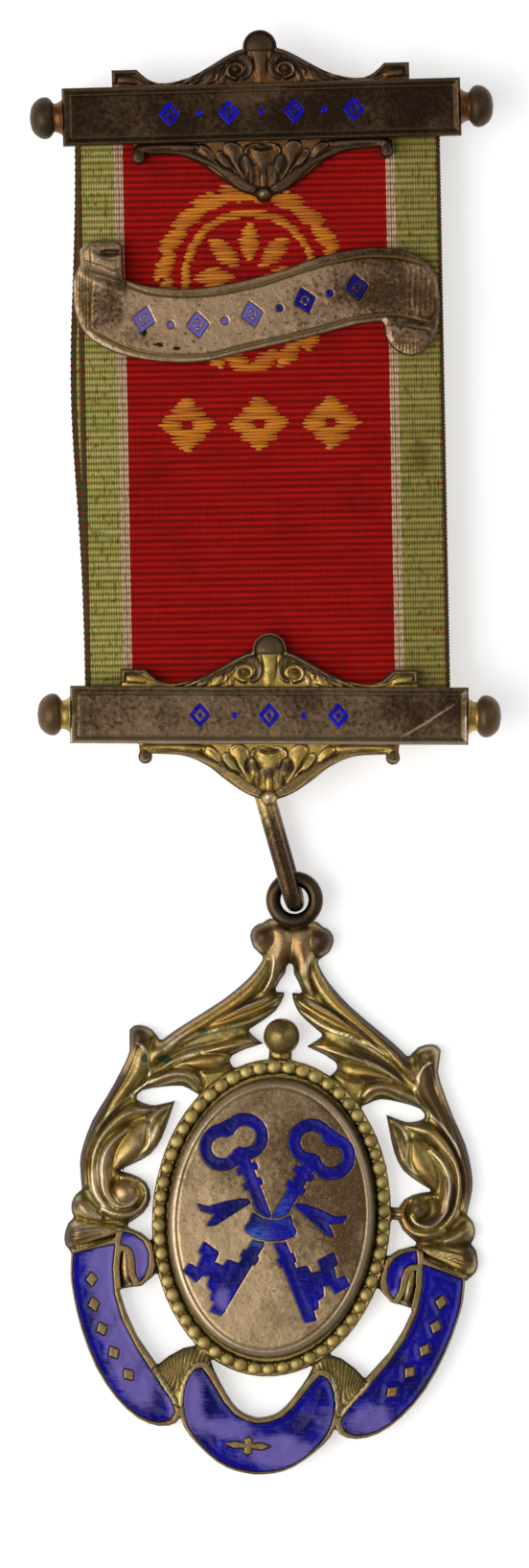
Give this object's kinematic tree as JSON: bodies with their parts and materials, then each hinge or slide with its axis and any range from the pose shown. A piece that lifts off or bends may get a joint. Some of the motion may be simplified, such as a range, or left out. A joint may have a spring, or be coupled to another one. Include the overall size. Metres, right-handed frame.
{
  "type": "fraternal breast jewel",
  "caption": "Worn fraternal jewel: ornate brooch bar, striped ribbon with a scroll clasp, lower bar, link and oval openwork pendant with blue enamel.",
  "frame": {"origin": "centre of the bounding box in plan, at the lowest face, which is the surface the jewel lies on", "axes": "+Z out of the face, +Y from the pendant towards the brooch bar, +X to the right as seen from the front"},
  "size_m": [0.0492, 0.1508, 0.0092],
  "materials": {
    "tarnished_silver": "silvered brass gone dark brown, with worn light edges",
    "worn_silver": "worn silver over brass, warm grey-brown, scratched, some gilding left in the relief",
    "worn_gilt": "worn gilding, olive gold in the hollows and brown silver on the ridges",
    "steel_pin": "plain drawn wire, dull",
    "blue_enamel": "opaque deep royal blue enamel, glossy",
    "woven_ribbon": "ribbed woven silk, deep red with olive green edges and fine pale stripes"
  },
  "bodies": {
    "root": {"top_bar": "tarnished_silver", "top_bar_enamel": "blue_enamel", "brooch_pin": "steel_pin", "ribbon": "woven_ribbon", "banner_clasp": "worn_silver", "banner_enamel": "blue_enamel", "bottom_bar": "worn_silver", "bottom_bar_enamel": "blue_enamel", "link": "worn_gilt", "pendant_frame": "worn_gilt", "plaque": "worn_silver", "plaque_enamel": "blue_enamel", "streamer_enamel": "blue_enamel"}
  },
  "joints": []
}
